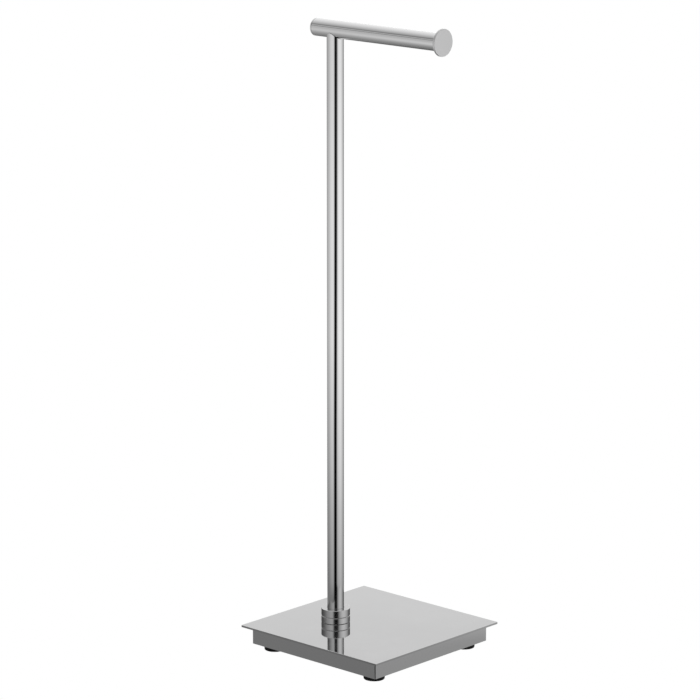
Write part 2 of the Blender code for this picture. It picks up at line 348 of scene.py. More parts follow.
@dataclass(frozen=True)
class Moulded:
    """A matt, non-metal skin: rubber, nylon or powder coat.

    Attributes:
        name: The material's name.
        tone: Mean colour.
        dusty: Colour of the dust that lies in its pores.
        roughness: Mean roughness.
        pore: Width of its grain.
        depth: Height of its grain.
        specular: Specular level.
    """

    name: str
    tone: tuple[float, float, float]
    dusty: tuple[float, float, float]
    roughness: float
    pore: float
    depth: float
    specular: float = 0.4

    def build(self) -> bpy.types.Material:
        """Build the material.

        Returns:
            The material.
        """
        material, tree, shader = new_shader(self.name)
        place = tree.add("ShaderNodeTexCoord").outputs["Object"]
        grain = tree.noise(place, 1.0 / self.pore, 3.0, 0.6)
        cells = tree.add("ShaderNodeTexVoronoi", {"Vector": place, "Scale": 0.6 / self.pore})
        cloud = tree.noise(place, 60.0, 4.0, 0.6)
        dust = tree.remap(cloud, 0.45, 0.75, 0.0, 1.0, smooth=True)
        rough = tree.remap(grain, 0.3, 0.7, self.roughness - 0.08, min(1.0, self.roughness + 0.08))
        height = tree.maths("ADD", tree.maths("MULTIPLY", grain, 0.6),
                            tree.maths("MULTIPLY", cells.outputs["Distance"], 0.4))
        bump = tree.add("ShaderNodeBump", {"Height": height, "Strength": 0.8, "Distance": self.depth})
        tree.feed(shader, {"Base Color": tree.mix_colour(dust, self.tone, self.dusty), "Roughness": rough,
                           "Normal": bump.outputs[0], "Specular IOR Level": self.specular})
        return material


POLISHED = (0.62, 0.62, 0.622)
SATIN = (0.60, 0.60, 0.602)
DISC_FACE = (0.58, 0.58, 0.582)
CUT_EDGE = (0.50, 0.50, 0.502)
ZINC = (0.55, 0.56, 0.57)


def fastener_zinc(name: str) -> bpy.types.Material:
    """Zinc plating of a screw or bolt.

    Args:
        name: The material's name.

    Returns:
        The material.
    """
    return Metal(name, ZINC, spread=0.12, roughness=0.24, smear=0.15, grain=0.000006).build()


def plug_zinc(name: str, centre: tuple[float, float, float], turning: Turning) -> bpy.types.Material:
    """Zinc plating of a turned plug.

    Args:
        name: The material's name.
        centre: A point of the plug's axis.
        turning: That axis.

    Returns:
        The material.
    """
    return Metal(name, ZINC, spread=0.10, roughness=0.26, smear=0.12, grain=0.000005, centre=centre,
                 turning=turning).build()


# --------------------------------------------------------------------------------------------------
# Shapes


@dataclass(frozen=True)
class Corner:
    """A corner of a turned outline.

    Attributes:
        radius: Distance from the axis.
        height: Distance along the axis.
        fillet: Radius of its rounding, or 0 for a sharp corner.
    """

    radius: float
    height: float
    fillet: float = 0.0


@dataclass(frozen=True)
class Row:
    """One ring of points round the axis.

    Attributes:
        height: Distance along the axis.
        radius: Its radius, or a rule that gives the radius at an angle.
    """

    height: float
    radius: Radius


def rounded(corners: Sequence[Corner], closed: bool, steps: int = 5) -> list[Row]:
    """Round an outline's corners with arcs.

    Args:
        corners: The outline, in order.
        closed: Whether its last corner joins its first, as on a ring.
        steps: Stretches in each arc.

    Returns:
        The outline's rows.
    """
    rows: list[Row] = []
    count = len(corners)
    for index, corner in enumerate(corners):
        at = Vector((corner.radius, corner.height))
        at_end = not closed and index in (0, count - 1)
        if not corner.fillet or at_end:
            rows.append(Row(at.y, at.x))
            continue
        before = corners[index - 1]
        after = corners[(index + 1) % count]
        back = (Vector((before.radius, before.height)) - at).normalized()
        on = (Vector((after.radius, after.height)) - at).normalized()
        half = back.angle(on) / 2
        centre = at + (back + on).normalized() * (corner.fillet / math.sin(half))
        reach = corner.fillet / math.tan(half)
        start = (at + back * reach - centre).normalized()
        end = (at + on * reach - centre).normalized()
        for step in range(steps + 1):
            spoke = start.slerp(end, step / steps) * corner.fillet
            rows.append(Row((centre + spoke).y, (centre + spoke).x))
    return rows


def finish_mesh(name: str, bm: bmesh.types.BMesh, smooth: float = 32.0) -> bpy.types.Object:
    """Turn a bmesh into an object, its faces pointing out and shaded smooth between sharp edges.

    Args:
        name: The piece's name.
        bm: Its shape, in its place. It is freed.
        smooth: Edges sharper than this many degrees stay sharp.

    Returns:
        The object, at the origin.
    """
    bmesh.ops.remove_doubles(bm, verts=bm.verts, dist=1e-7)
    bmesh.ops.recalc_face_normals(bm, faces=bm.faces)
    mesh = bpy.data.meshes.new(name)
    bm.to_mesh(mesh)
    bm.free()
    mesh.shade_smooth()
    mesh.set_sharp_from_angle(angle=math.radians(smooth))
    piece = bpy.data.objects.new(name, mesh)
    bpy.context.scene.collection.objects.link(piece)
    return piece


def lathe(rows: Sequence[Row], closed: bool, steps: int, turning: Turning = Turning.UPRIGHT,
          at: Sequence[float] = (0.0, 0.0, 0.0)) -> bmesh.types.BMesh:
    """Turn rows of points about an axis.

    Args:
        rows: The outline, in order. A row of radius 0 closes the shape on the axis.
        closed: Whether the last row joins the first, as on a ring.
        steps: Points round the axis.
        turning: The axis.
        at: A point on the axis; heights are measured from it.

    Returns:
        The shape, in its place.
    """
    bm = bmesh.new()
    rings: list[list[bmesh.types.BMVert]] = []
    for row in rows:
        if not callable(row.radius) and row.radius <= 1e-7:
            rings.append([bm.verts.new((0.0, 0.0, row.height))])
            continue
        ring = []
        for step in range(steps):
            angle = 2 * math.pi * step / steps
            radius = row.radius(angle) if callable(row.radius) else row.radius
            ring.append(bm.verts.new((radius * math.cos(angle), radius * math.sin(angle), row.height)))
        rings.append(ring)
    pairs = list(zip(rings, rings[1:]))
    if closed:
        pairs.append((rings[-1], rings[0]))
    for low, high in pairs:
        if len(low) == 1 and len(high) == 1:
            continue
        for step in range(steps):
            following = (step + 1) % steps
            face = [low[step % len(low)], low[following % len(low)], high[following % len(high)],
                    high[step % len(high)]]
            bm.faces.new(list(dict.fromkeys(face)))
    if turning is Turning.LENGTHWISE:
        bmesh.ops.rotate(bm, verts=bm.verts, cent=(0, 0, 0), matrix=Matrix.Rotation(math.pi / 2, 3, "Y"))
    bmesh.ops.translate(bm, verts=bm.verts, vec=at)
    return bm


def hexagon(across_flats: float) -> Callable[[float], float]:
    """The radius of a hexagon at an angle.

    Args:
        across_flats: Distance between two opposite flats.

    Returns:
        The rule.
    """
    def radius(angle: float) -> float:
        """Distance from the middle to the side at an angle."""
        within = (angle + math.pi / 6) % (math.pi / 3) - math.pi / 6
        return across_flats / 2 / math.cos(within)

    return radius


def thread(start: float, end: float, outer: float, pitch: float, lead: float) -> list[Row]:
    """Rows of a screw thread, tapered away at both ends.

    Args:
        start: Height where it starts.
        end: Height where it ends.
        outer: Radius at its crests.
        pitch: Height of one turn.
        lead: Height over which it fades at each end.

    Returns:
        The rows, from start to end.
    """
    depth = 0.55 * pitch
    way = 1 if end > start else -1
    count = max(2, round(abs(end - start) / pitch * 6))

    def row(height: float) -> Row:
        """One row of the thread."""
        fade = min(1.0, abs(height - start) / lead, abs(end - height) / lead)

        def radius(angle: float) -> float:
            """Radius of the flank at an angle."""
            phase = (height / pitch - angle / (2 * math.pi)) % 1.0
            return outer - depth * fade * (1 - abs(2 * phase - 1))

        return Row(height, radius)

    return [row(start + way * abs(end - start) * step / count) for step in range(count + 1)]


def round_edges(bm: bmesh.types.BMesh, edges: Sequence[bmesh.types.BMEdge], radius: float,
                segments: int) -> None:
    """Round some edges of a shape.

    Args:
        bm: The shape.
        edges: The edges.
        radius: Radius of the rounding.
        segments: Facets across it.
    """
    bmesh.ops.bevel(bm, geom=list(edges), offset=radius, segments=segments, profile=0.5, affect="EDGES")


def slab(size: Sequence[float], middle: Sequence[float], edge: float, segments: int = 3) -> bmesh.types.BMesh:
    """A block with rounded edges.

    Args:
        size: Its sides.
        middle: Its middle.
        edge: Radius of its edges.
        segments: Facets across each rounding.

    Returns:
        The shape, in its place.
    """
    bm = bmesh.new()
    bmesh.ops.create_cube(bm, size=1.0)
    bmesh.ops.scale(bm, verts=bm.verts, vec=size)
    round_edges(bm, bm.edges, edge, segments)
    bmesh.ops.translate(bm, verts=bm.verts, vec=middle)
    return bm


# --------------------------------------------------------------------------------------------------
# Geometry Nodes


class NodePiece:
    """A piece whose mesh a geometry tree makes from named inputs."""

    def __init__(self, name: str) -> None:
        """Start the tree.

        Args:
            name: The piece's name, and the tree's.
        """
        self.name = name
        self.group = bpy.data.node_groups.new(name, "GeometryNodeTree")
        self.group.interface.new_socket("Geometry", in_out="OUTPUT", socket_type="NodeSocketGeometry")
        self.tree = Tree(self.group)
        self.inlet = self.group.nodes.new("NodeGroupInput")
        self.outlet = self.group.nodes.new("NodeGroupOutput")
        self.values: dict[str, object] = {}

    def value(self, name: str, value: object) -> Socket:
        """Add a named input.

        Args:
            name: Its name.
            value: What this piece sets it to: a number, a tuple of three, an object or a material.

        Returns:
            The input's socket inside the tree.
        """
        kinds = {float: "NodeSocketFloat", int: "NodeSocketInt", tuple: "NodeSocketVector",
                 bpy.types.Object: "NodeSocketObject", bpy.types.Material: "NodeSocketMaterial"}
        socket = self.group.interface.new_socket(name, in_out="INPUT", socket_type=kinds[type(value)])
        self.values[socket.identifier] = value
        return self.inlet.outputs[name]

    def finish(self, geometry: Socket, material: bpy.types.Material) -> bpy.types.Object:
        """Close the tree, evaluate it and keep the result as a plain mesh.

        Args:
            geometry: What the tree has made.
            material: The piece's finish.

        Returns:
            The piece, at the origin.
        """
        real = self.tree.add("GeometryNodeRealizeInstances", {0: geometry}).outputs[0]
        skin = self.value("Finish", material)
        dressed = self.tree.add("GeometryNodeSetMaterial", {"Geometry": real, "Material": skin}).outputs[0]
        self.group.links.new(dressed, self.outlet.inputs[0])
        carrier = bpy.data.objects.new(self.name + "_carrier", bpy.data.meshes.new(self.name))
        bpy.context.scene.collection.objects.link(carrier)
        modifier = carrier.modifiers.new("Shape", "NODES")
        modifier.node_group = self.group
        for identifier, value in self.values.items():
            modifier[identifier] = value
        depsgraph = bpy.context.evaluated_depsgraph_get()
        mesh = bpy.data.meshes.new_from_object(carrier.evaluated_get(depsgraph), depsgraph=depsgraph)
        carrier.modifiers.remove(modifier)
        bpy.data.objects.remove(carrier)
        bm = bmesh.new()
        bm.from_mesh(mesh)
        piece = finish_mesh(self.name, bm)
        piece.data.materials.append(material)
        return piece


# --------------------------------------------------------------------------------------------------
# The frame's places


@dataclass(frozen=True)
class Space:
    """The room that a node of the frame takes.

    Attributes:
        low: Its lowest corner.
        high: Its highest corner.
    """

    low: Vector
    high: Vector

    @classmethod
    def of(cls, node: str) -> "Space":
        """Read a node's box from the frame."""
        low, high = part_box(node)
        return cls(low, high)

    @property
    def middle(self) -> Vector:
        """Its middle."""
        return (self.low + self.high) / 2

    @property
    def size(self) -> Vector:
        """Its sides."""
        return self.high - self.low


def fit(piece: bpy.types.Object, body: str, nodes: Sequence[str],
        material: bpy.types.Material | None = None) -> bpy.types.Object:
    """Dress a finished piece and set it on its body in place of the frame's nodes.

    Args:
        piece: The piece, at the origin.
        body: The body that it moves with.
        nodes: The nodes that it stands for.
        material: Its finish, unless it has one.

    Returns:
        The piece.
    """
    if material:
        piece.data.materials.append(material)
    evened = piece.modifiers.new("Even faces", "WEIGHTED_NORMAL")
    evened.keep_sharp = True
    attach(piece, body)
    if nodes:
        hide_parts(*nodes)
    stands_for = ", ".join(nodes) or "itself"
    LOG.info("%s: %d faces on %s, for %s", piece.name, len(piece.data.polygons), body, stands_for)
    return piece


def dress_node(node: str, material: bpy.types.Material) -> None:
    """Give a node that the frame keeps showing its finish.

    Args:
        node: The node's name.
        material: Its finish.
    """
    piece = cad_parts[node]
    if not piece.material_slots:
        piece.data.materials.append(material)
    for slot in piece.material_slots:
        slot.material = material
    LOG.info("%s: kept from the frame", node)


# --------------------------------------------------------------------------------------------------
# Sub-assemblies


@dataclass
class BaseBox:
    """The weighted square base: plate, skirt, cover and ballast.

    Attributes:
        plate: Room of the top plate.
        cover: Room of the bottom cover.
        plate_edge: Radius of the plate's ground edges.
        strip_edge: Radius of the skirt strips' long edges.
        corner_edge: Radius of the strips' ends, where they meet at the mitre.
        cover_edge: Radius of the cover's edges.
        bead_inset: From the cover's edge to its pressed beads.
        bead_depth: Depth of a bead, and the width of its slopes.
        bead_width: Width of a bead's floor.
        bead_spacing: Width of the land between two beads.
    """

    plate: Space
    cover: Space
    plate_edge: float = 0.00035
    strip_edge: float = 0.0003
    corner_edge: float = 0.0009
    cover_edge: float = 0.0002
    bead_inset: float = 0.030
    bead_depth: float = 0.0005
    bead_width: float = 0.004
    bead_spacing: float = 0.012

    def make_plate(self) -> None:
        """Mirror-polished plate with softly ground, duller edges."""
        finish = Metal("mirror_plate", POLISHED, roughness=0.035, smear=0.03, lay=Lay.ACROSS,
                       grain=0.0000004)
        cut = Metal("ground_plate_edge", CUT_EDGE, roughness=0.09, smear=0.04, lay=Lay.ACROSS,
                    grain=0.0000008)
        piece = finish_mesh("polished_plate", slab(self.plate.size, self.plate.middle, self.plate_edge))
        fit(piece, BASE, ["top_plate"], finish.build())
        piece.data.materials.append(cut.build())
        for face in piece.data.polygons:
            face.material_index = int(abs(face.normal.z) < 0.3)

    def make_skirt(self) -> None:
        """Four satin strips, mitred where they meet, each with eased edges."""
        strips = {"skirt_front": 0, "skirt_right": 1, "skirt_back": 2, "skirt_left": 3}
        front = Space.of("skirt_front")
        wall = front.size.y
        half = front.size.x / 2
        middle = Vector((front.middle.x, 0.0, 0.0))
        for node, turns in strips.items():
            lay = Lay.ALONG_X if turns % 2 == 0 else Lay.ACROSS
            finish = Metal(f"satin_{node}", SATIN, spread=0.03, roughness=0.13, smear=0.04, lay=lay,
                           grain=0.0000015)
            outline = ((-half, front.low.y), (half, front.low.y), (half - wall, front.high.y),
                       (wall - half, front.high.y))
            bm = bmesh.new()
            face = bm.faces.new([bm.verts.new((x, y, front.low.z)) for x, y in outline])
            raised = bmesh.ops.extrude_face_region(bm, geom=[face])
            top = [part for part in raised["geom"] if isinstance(part, bmesh.types.BMVert)]
            bmesh.ops.translate(bm, verts=top, vec=(0.0, 0.0, front.size.z))
            bmesh.ops.recalc_face_normals(bm, faces=bm.faces)
            upright = [edge for edge in bm.edges if edge.verts[0].co.xy == edge.verts[1].co.xy]
            round_edges(bm, upright, self.corner_edge, 4)
            level = [edge for edge in bm.edges if edge.verts[0].co.z == edge.verts[1].co.z]
            round_edges(bm, level, self.strip_edge, 2)
            quarter = Matrix.Rotation(turns * math.pi / 2, 3, "Z")
            bmesh.ops.rotate(bm, verts=bm.verts, cent=(0, 0, 0), matrix=quarter)
            bmesh.ops.translate(bm, verts=bm.verts, vec=middle)
            fit(finish_mesh(f"{node}_strip", bm), BASE, [node], finish.build())

    def make_cover(self) -> None:
        """Powder-coated cover with two pressed beads that stiffen it."""
        bm = slab(self.cover.size, self.cover.middle, self.cover_edge, 2)
        underside = min(bm.faces, key=lambda face: face.calc_center_median().z)
        slope = self.bead_depth
        bead = ((slope, -slope), (self.bead_width, 0.0), (slope, slope), (self.bead_spacing, 0.0))
        for width, depth in ((self.bead_inset, 0.0), *bead, *bead):
            bmesh.ops.inset_region(bm, faces=[underside], thickness=width, depth=depth)
        finish = Moulded("cover_powder_coat", (0.030, 0.030, 0.032), (0.055, 0.055, 0.055), roughness=0.55,
                         pore=0.0009, depth=0.00004)
        fit(finish_mesh("pressed_cover", bm, 20.0), BASE, ["bottom_cover"], finish.build())

    def make_ballast(self) -> None:
        """The cast weight, which the base hides."""
        finish = Metal("ballast_iron", (0.10, 0.10, 0.105), spread=0.25, roughness=0.55, smear=0.25,
                       grain=0.00015)
        dress_node("ballast", finish.build())

    def make(self) -> None:
        """Make the whole box."""
        self.make_plate()
        self.make_skirt()
        self.make_cover()
        self.make_ballast()


@dataclass
class Feet:
    """Four rubber feet, their grip ribs and their screws.

    Attributes:
        foot: Room of one foot.
        screw: Room of its screw.
        across: Distance between two feet's middles.
        middle: Middle of the four, on the floor.
        rib_count: Grip ribs under each foot.
        rib: Length, width and height of a rib.
        rib_ring: Distance from the screw's axis to a rib's middle.
        rib_level: Height of a rib's middle.
        recess_radius: Radius of the recess for the screw's head.
        shoulder: Height of the recess.
        bore: Radius of the hole above it.
        relief: From the floor to the ribbed face.
        rim_width: Width of the rim that stands on the floor.
        rim_slope: Width of the slopes beside it.
        draft: How much narrower the foot is at its lower end.
        head_radius: Radius of the screw's head.
        head_top: Upper side of the head.
        socket_flats: Width of the socket, across its flats.
        socket_depth: Depth of the socket.
        shank: Radius of the screw's shank.
    """

    foot: Space
    screw: Space
    across: float
    middle: Vector
    rib_count: int = 20
    rib: tuple[float, float, float] = (0.0030, 0.0007, 0.00075)
    rib_ring: float = 0.00665
    rib_level: float = 0.000395
    recess_radius: float = 0.0048
    shoulder: float = 0.0032
    bore: float = 0.0024
    relief: float = 0.0005
    rim_width: float = 0.0018
    rim_slope: float = 0.0006
    draft: float = 0.0005
    head_radius: float = 0.0042
    head_top: float = 0.0029
    socket_flats: float = 0.0025
    socket_depth: float = 0.0013
    shank: float = 0.002

    CORNERS = ("front_left", "front_right", "back_left", "back_right")

    def make_rubber(self) -> None:
        """Moulded pads: a raised rim on the floor, a recess for the screw and a soft lower edge."""
        rubber = Moulded("foot_rubber", (0.005, 0.005, 0.0055), (0.012, 0.012, 0.0115), roughness=0.60,
                         pore=0.00035, depth=0.00002, specular=0.22).build()
        top = self.foot.high.z
        outer = self.foot.size.x / 2
        lower = outer - self.draft
        rim = lower - self.rim_slope - self.rim_width
        outline = [Corner(self.recess_radius, self.relief, 0.0002), Corner(rim, self.relief, 0.0001),
                   Corner(rim + self.rim_slope / 3, 0.0, 0.0001), Corner(lower, 0.0, 0.0007),
                   Corner(outer, top, 0.0004), Corner(self.bore, top), Corner(self.bore, self.shoulder),
                   Corner(self.recess_radius, self.shoulder)]
        rows = rounded(outline, closed=True)
        for corner in self.CORNERS:
            at = Space.of(f"foot_{corner}").middle
            shape = lathe(rows, True, 96, at=(at.x, at.y, 0.0))
            fit(finish_mesh(f"rubber_foot_{corner}", shape), BASE, [f"foot_{corner}"], rubber)
        self.make_ribs(rubber)

    def corner_points(self, piece: NodePiece) -> Socket:
        """Add the four feet's places to a tree.

        Args:
            piece: The piece whose tree it is.

        Returns:
            A point for each foot.
        """
        spacing = piece.value("Spacing", float(self.across))
        sides = {"Size X": spacing, "Size Y": spacing, "Vertices X": 2, "Vertices Y": 2}
        grid = piece.tree.add("GeometryNodeMeshGrid", sides).outputs[0]
        centre = piece.value("Middle", tuple(self.middle))
        return piece.tree.add("GeometryNodeTransform", {"Geometry": grid, "Translation": centre}).outputs[0]

    def make_ribs(self, rubber: bpy.types.Material) -> None:
        """Short grip ribs round each screw, from the recess to the rim.

        Args:
            rubber: The feet's finish.
        """
        piece = NodePiece("foot_grip_ribs")
        tree = piece.tree
        count = piece.value("Ribs", self.rib_count)
        ring = piece.value("Ring radius", self.rib_ring)
        rib_size = piece.value("Rib size", self.rib)
        lift = piece.value("Lift", (0.0, 0.0, self.rib_level))
        rib = tree.add("GeometryNodeMeshCube", {"Size": rib_size, "Vertices X": 2, "Vertices Y": 3,
                                                "Vertices Z": 2})
        circle = tree.add("GeometryNodeMeshCircle", {"Vertices": count, "Radius": ring}).outputs[0]
        outward = tree.add("GeometryNodeInputPosition").outputs[0]
        turn = tree.add("FunctionNodeAlignRotationToVector", {"Vector": outward}, axis="X").outputs[0]
        fan = tree.add("GeometryNodeInstanceOnPoints", {"Points": circle, "Instance": rib.outputs[0],
                                                        "Rotation": turn}).outputs[0]
        spread = tree.add("GeometryNodeInstanceOnPoints", {"Points": self.corner_points(piece),
                                                           "Instance": fan}).outputs[0]
        raised = tree.add("GeometryNodeTransform", {"Geometry": spread, "Translation": lift}).outputs[0]
        fit(piece.finish(raised, rubber), BASE, [])

    def screw_rows(self) -> list[Row]:
        """One pan-head screw with a hexagon socket, from the socket's floor to the point."""
        low, high = self.screw.low.z, self.screw.high.z
        floor = low + self.socket_depth
        socket = hexagon(self.socket_flats)
        outline = [Corner(0.0018, low), Corner(self.head_radius, low, 0.0008),
                   Corner(self.head_radius, self.head_top), Corner(self.shank, self.head_top)]
        head = rounded(outline, closed=False)
        turns = thread(self.head_top + 0.0004, high - 0.0004, self.shank, pitch=0.0007, lead=0.0008)
        return [Row(floor, 0.0), Row(floor, socket), Row(low, socket), *head, *turns, Row(high, 0.0014),
                Row(high, 0.0)]

    def make_screws(self) -> None:
        """One screw, repeated under the four feet."""
        zinc = fastener_zinc("foot_screw_zinc")
        pattern = finish_mesh("screw_pattern", lathe(self.screw_rows(), False, 36))
        piece = NodePiece("foot_screws")
        screw = piece.value("Screw", pattern)
        shape = piece.tree.add("GeometryNodeObjectInfo", {"Object": screw}).outputs["Geometry"]
        set_out = piece.tree.add("GeometryNodeInstanceOnPoints", {"Points": self.corner_points(piece),
                                                                  "Instance": shape}).outputs[0]
        screws = piece.finish(set_out, zinc)
        bpy.data.objects.remove(pattern)
        fit(screws, BASE, [f"foot_screw_{corner}" for corner in self.CORNERS])

    def make(self) -> None:
        """Make the feet and their screws."""
        self.make_rubber()
        self.make_screws()


@dataclass
class SwivelCollar:
    """The two collar rings, the slip washer between them and the bolt that clamps them.

    Attributes:
        lower: Room of the fixed ring.
        upper: Room of the ring that turns.
        bolt: Room of the base bolt.
        edge: Radius of the rings' rims.
        brow: Radius of the upper ring's top rim.
        post_radius: Radius of the post that stands in the upper ring.
        bolt_hole: Radius of the hole for the bolt.
        clearance: Gap round the post.
        recess: Radius of the slip washer's recess in the lower ring.
        recess_depth: Depth of that recess.
        web: Thickness of the upper ring under the post.
        head_height: Height of the bolt's head.
        head_flats: Width of the head, across its flats.
        shank: Radius of the bolt's shank.
    """

    lower: Space
    upper: Space
    bolt: Space
    post_radius: float
    edge: float = 0.00035
    brow: float = 0.0005
    bolt_hole: float = 0.0043
    clearance: float = 0.0003
    recess: float = 0.0110
    recess_depth: float = 0.0008
    web: float = 0.0016
    head_height: float = 0.0045
    head_flats: float = 0.013
    shank: float = 0.004

    @property
    def axis(self) -> tuple[float, float, float]:
        """A point of the swivel's axis, on the floor."""
        return (self.lower.middle.x, self.lower.middle.y, 0.0)

    def ring(self, name: str, outline: Sequence[Corner]) -> bpy.types.Object:
        """Turn one ring from its outline."""
        return finish_mesh(name, lathe(rounded(outline, closed=True), True, 160, at=self.axis))

    def make_rings(self) -> None:
        """Two rings; the post stands in the upper one and the slip washer lies in the lower one."""
        steel = Metal("turned_collar", POLISHED, roughness=0.07, smear=0.04, grain=0.0000015,
                      centre=self.axis, turning=Turning.UPRIGHT).build()
        radius = self.lower.size.x / 2
        low, split = self.lower.low.z, self.lower.high.z
        floor = split - self.recess_depth
        fixed = self.ring("fixed_collar_ring", [
            Corner(self.bolt_hole, low), Corner(radius, low, 0.0002), Corner(radius, split, self.edge),
            Corner(self.recess, split), Corner(self.recess, floor), Corner(self.bolt_hole, floor)])
        fit(fixed, BASE, ["lower_collar"], steel)
        low, top = self.upper.low.z, self.upper.high.z
        socket = self.post_radius + self.clearance
        seat = low + self.web
        turning = self.ring("turning_collar_ring", [
            Corner(self.bolt_hole, low), Corner(radius, low, self.edge), Corner(radius, top, self.brow),
            Corner(socket, top, 0.00015), Corner(socket, seat), Corner(self.bolt_hole, seat)])
        fit(turning, MOVING, ["upper_collar"], steel)

    def make_bolt(self) -> None:
        """Hexagon bolt, threaded where it enters the post."""
        low, high = self.bolt.low.z, self.bolt.high.z
        head_top = low + self.head_height
        flats = hexagon(self.head_flats)
        thread_low = self.upper.low.z + 0.003
        rows = [Row(low, 0.0), Row(low, 0.0058), Row(low + 0.0007, flats), Row(head_top, flats),
                Row(head_top, self.shank), Row(thread_low - 0.0005, self.shank),
                *thread(thread_low, high - 0.0006, self.shank, pitch=0.00125, lead=0.001),
                Row(high, 0.0032), Row(high, 0.0)]
        bolt = finish_mesh("clamp_bolt", lathe(rows, False, 48, at=self.axis))
        fit(bolt, MOVING, ["base_bolt"], fastener_zinc("bolt_zinc"))

    def make(self) -> None:
        """Make the collar, and dress the washers that it hides."""
        self.make_rings()
        self.make_bolt()
        zinc = Metal("washer_zinc", ZINC, spread=0.12, roughness=0.28, smear=0.12, grain=0.000006)
        spring = Metal("washer_spring_steel", (0.12, 0.12, 0.13), spread=0.2, roughness=0.38, smear=0.15,
                       grain=0.000008)
        nylon = Moulded("washer_nylon", (0.022, 0.022, 0.023), (0.04, 0.04, 0.04), roughness=0.48,
                        pore=0.0004, depth=0.00001)
        dress_node("base_washer", zinc.build())
        dress_node("spring_washer", spring.build())
        dress_node("swivel_washer", nylon.build())


def tube(name: str, room: Space, turning: Turning, wall: float, cutter_radius: float, cutter_from: Vector,
         cutter_to: Vector, material: bpy.types.Material) -> bpy.types.Object:
    """A tube with a round cut across it, made by a geometry tree.

    Args:
        name: The piece's name.
        room: The tube's room in the frame; its outside fits it.
        turning: The tube's axis.
        wall: Wall thickness.
        cutter_radius: Radius of the cut.
        cutter_from: Start of the cut's axis.
        cutter_to: End of the cut's axis.
        material: Its finish.

    Returns:
        The tube, at the origin.
    """
    piece = NodePiece(name)
    tree = piece.tree
    upright = turning is Turning.UPRIGHT
    sides = piece.value("Sides", 128)
    radius = piece.value("Radius", float(room.size.x / 2 if upright else room.size.z / 2))
    length = piece.value("Length", float(room.size.z if upright else room.size.x))
    bore = tree.maths("SUBTRACT", radius, piece.value("Wall", wall))
    middle = piece.value("Middle", tuple(room.middle))
    turn = piece.value("Turn", (0.0, 0.0 if upright else math.pi / 2, 0.0))
    outer = tree.add("GeometryNodeMeshCylinder", {"Vertices": sides, "Radius": radius, "Depth": length})
    past_ends = tree.maths("MULTIPLY", length, 1.1)
    inner = tree.add("GeometryNodeMeshCylinder", {"Vertices": sides, "Radius": bore, "Depth": past_ends})
    hollow = tree.add("GeometryNodeMeshBoolean", {"Mesh 1": outer.outputs[0], "Mesh 2": inner.outputs[0]},
                      operation="DIFFERENCE", solver="EXACT")
    placed = tree.add("GeometryNodeTransform", {"Geometry": hollow.outputs[0], "Translation": middle,
                                                "Rotation": turn})
    run = cutter_to - cutter_from
    cut_size = piece.value("Cut radius", cutter_radius)
    cut_length = piece.value("Cut length", float(run.length))
    cut_middle = piece.value("Cut middle", tuple((cutter_from + cutter_to) / 2))
    cut_turn = piece.value("Cut turn", tuple(run.to_track_quat("Z", "Y").to_euler()))
    cutter = tree.add("GeometryNodeMeshCylinder", {"Vertices": 160, "Radius": cut_size, "Depth": cut_length})
    across = tree.add("GeometryNodeTransform", {"Geometry": cutter.outputs[0], "Translation": cut_middle,
                                                "Rotation": cut_turn})
    cut = tree.add("GeometryNodeMeshBoolean", {"Mesh 1": placed.outputs[0], "Mesh 2": across.outputs[0]},
                   operation="DIFFERENCE", solver="EXACT")
    return piece.finish(cut.outputs[0], material)


@dataclass
class Post:
    """The upright tube and the plugs in its ends.

    Attributes:
        room: Room of the tube.
        arm_axis: A point of the arm's axis, over the post.
        arm_radius: The arm's radius.
        wall: The tube's wall thickness.
        clearance: Gap between the post's saddle and the arm.
        cut_reach: How far the saddle's cut runs past the post's axis, each way.
    """

    room: Space
    arm_axis: Vector
    arm_radius: float
    wall: float = 0.0012
    clearance: float = 0.0003
    cut_reach: float = 0.03

    def make(self) -> None:
        """Make the coped tube and dress its plugs."""
        steel = Metal("drawn_post", POLISHED, roughness=0.055, smear=0.025, lay=Lay.ALONG_Z,
                      grain=0.0000007)
        whole = Space(self.room.low, Vector((self.room.high.x, self.room.high.y, self.arm_axis.z)))
        reach = Vector((self.cut_reach, 0.0, 0.0))
        piece = tube("post_upright", whole, Turning.UPRIGHT, self.wall, self.arm_radius + self.clearance,
                     self.arm_axis - reach, self.arm_axis + reach, steel.build())
        fit(piece, MOVING, ["post_tube"])
        foot = (self.arm_axis.x, self.arm_axis.y, self.room.low.z)
        zinc = plug_zinc("plug_zinc", foot, Turning.UPRIGHT)
        dress_node("post_bottom_plug", zinc)
        dress_node("post_top_plug", zinc)


